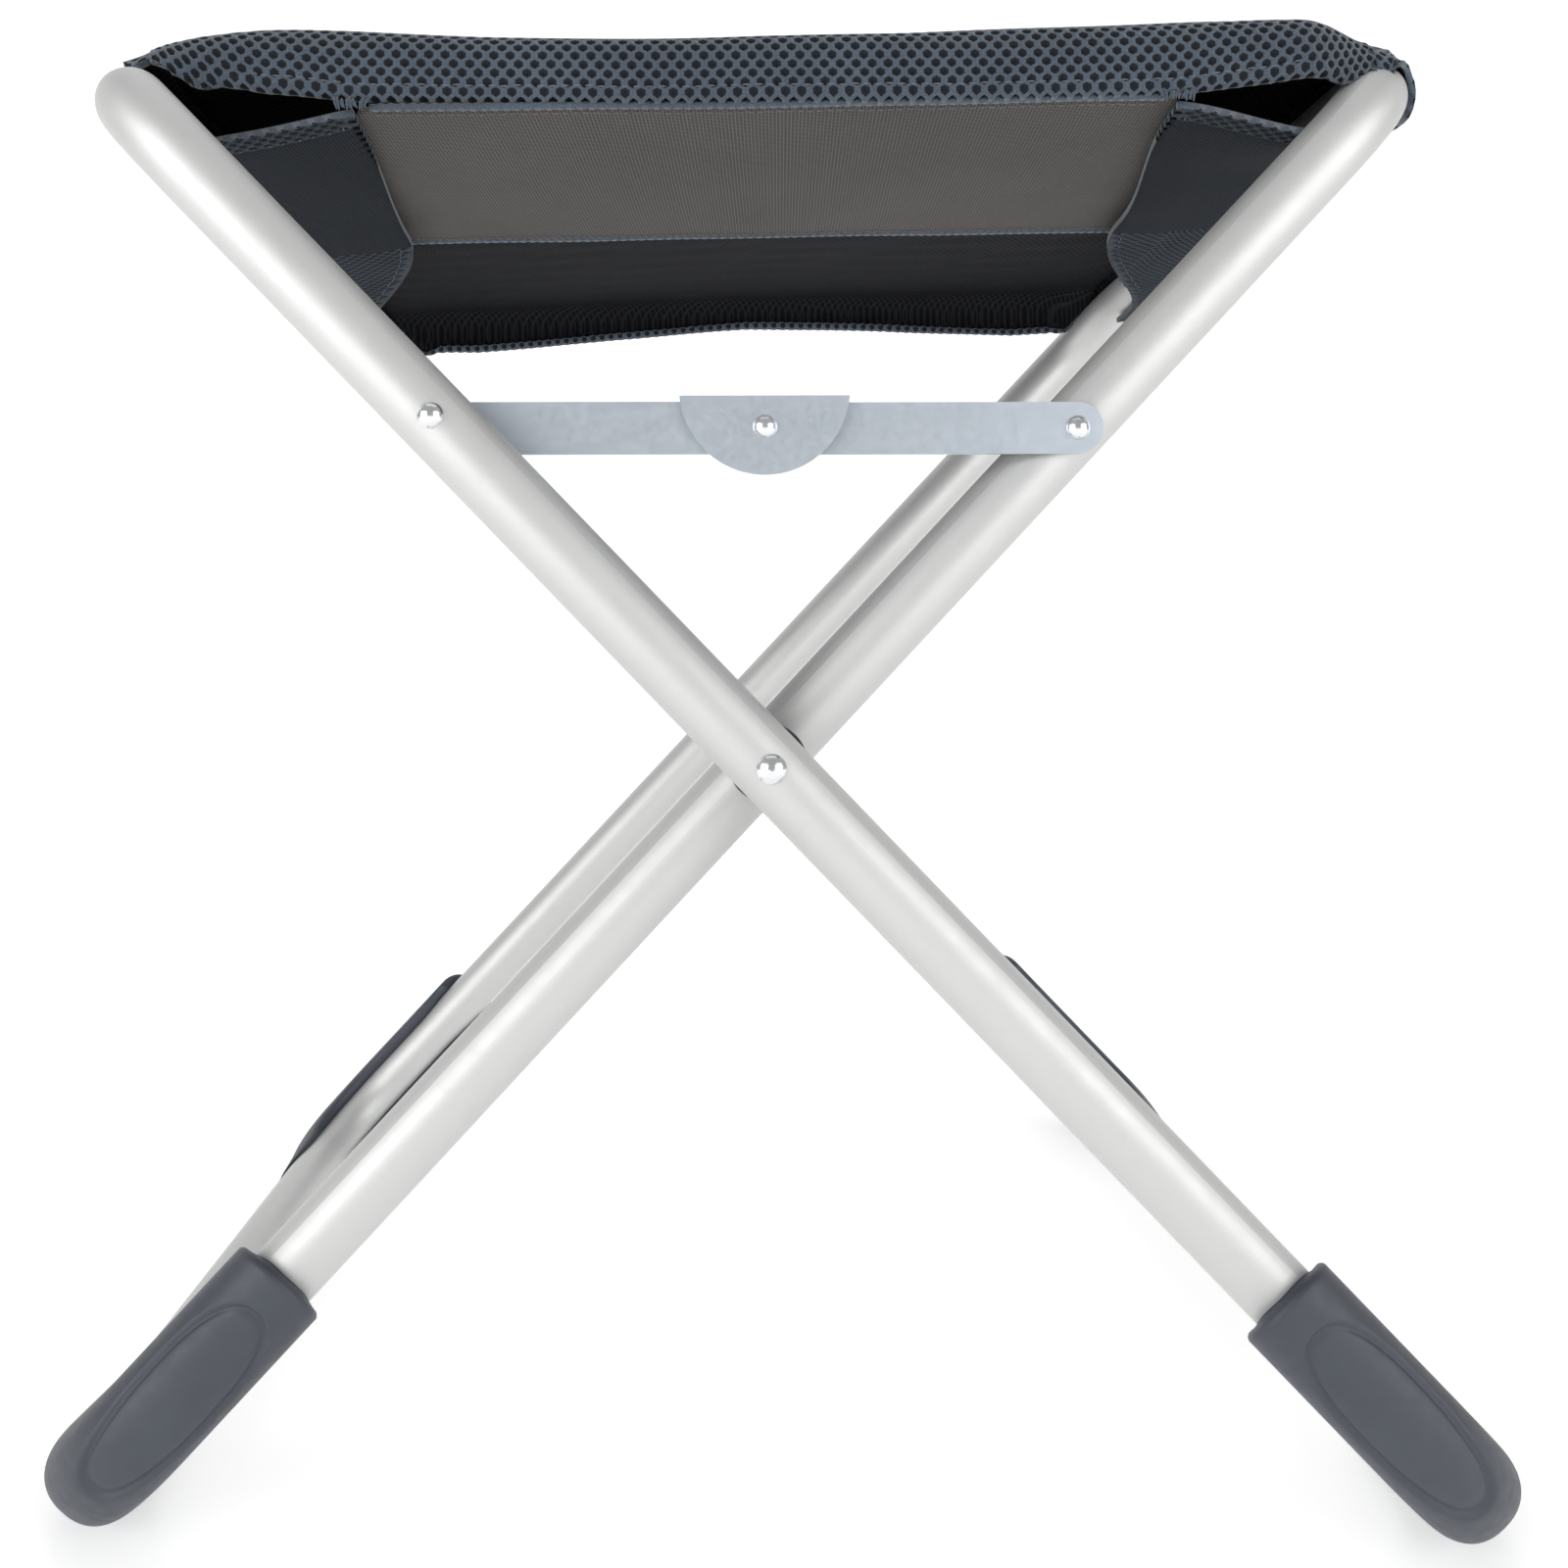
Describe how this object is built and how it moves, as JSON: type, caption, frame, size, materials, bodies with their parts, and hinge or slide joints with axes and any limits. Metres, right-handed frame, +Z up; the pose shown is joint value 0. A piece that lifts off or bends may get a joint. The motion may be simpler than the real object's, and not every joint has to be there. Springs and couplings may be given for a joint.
{
  "type": "camp stool",
  "caption": "Folding camp stool: two crossed rings of bent tube, a padded mesh seat between their top bars, a hinged brace with a lock plate and moulded corner feet.",
  "frame": {"origin": "on the floor, below the middle of the crossing of the legs", "axes": "+X across the legs towards the inner ring's top bar, +Y from the braced side to the far side, +Z up"},
  "size_m": [0.477, 0.431, 0.4843],
  "materials": {
    "tube": "satin anodised",
    "foot": "matte moulded",
    "rivet": "bright zinc",
    "spacer": "matte",
    "brace": "satin zinc grey",
    "plug": "matte",
    "mesh": "padded spacer mesh",
    "liner": "fine mesh"
  },
  "bodies": {
    "outer_frame": {"outer_frame_tube": "tube", "outer_frame_joint_plug": "plug", "front_right_foot": "foot", "rear_right_foot": "foot", "front_pivot_rivet": "rivet", "rear_pivot_rivet": "rivet", "front_pivot_spacer": "spacer", "rear_pivot_spacer": "spacer", "brace_left_rivet": "rivet", "brace_left_spacer": "spacer", "left_sleeve_panel": "mesh", "seat_top_panel": "mesh", "seat_underside_liner": "liner"},
    "inner_frame": {"inner_frame_tube": "tube", "inner_frame_joint_plug": "plug", "front_left_foot": "foot", "rear_left_foot": "foot", "brace_right_rivet": "rivet", "brace_right_spacer": "spacer", "right_sleeve_panel": "mesh"},
    "brace_left": {"brace_left_link": "brace", "brace_lock_plate": "brace", "brace_elbow_rivet": "rivet"},
    "brace_right": {"brace_right_link": "brace"}
  },
  "joints": [
    {"name": "fold", "type": "hinge", "parent": "outer_frame", "child": "inner_frame", "pos_m": [0, 0, 0.24639], "axis": [0, -1, 0], "range_deg": [0, 78], "deforming": ["seat_top_panel", "seat_underside_liner", "left_sleeve_panel", "right_sleeve_panel"]},
    {"name": "brace_left_turn", "type": "hinge", "parent": "outer_frame", "child": "brace_left", "pos_m": [-0.09706, 0, 0.34867], "axis": [0, -1, 0], "range_deg": [0, 122.47]},
    {"name": "brace_right_turn", "type": "hinge", "parent": "inner_frame", "child": "brace_right", "pos_m": [0.09706, 0, 0.34867], "axis": [0, -1, 0], "range_deg": [-122.47, 0]}
  ],
  "couplings": [
    {"joint": "brace_left_turn", "follows": "fold", "ratio": 1.5699},
    {"joint": "brace_right_turn", "follows": "fold", "ratio": -1.5699}
  ]
}
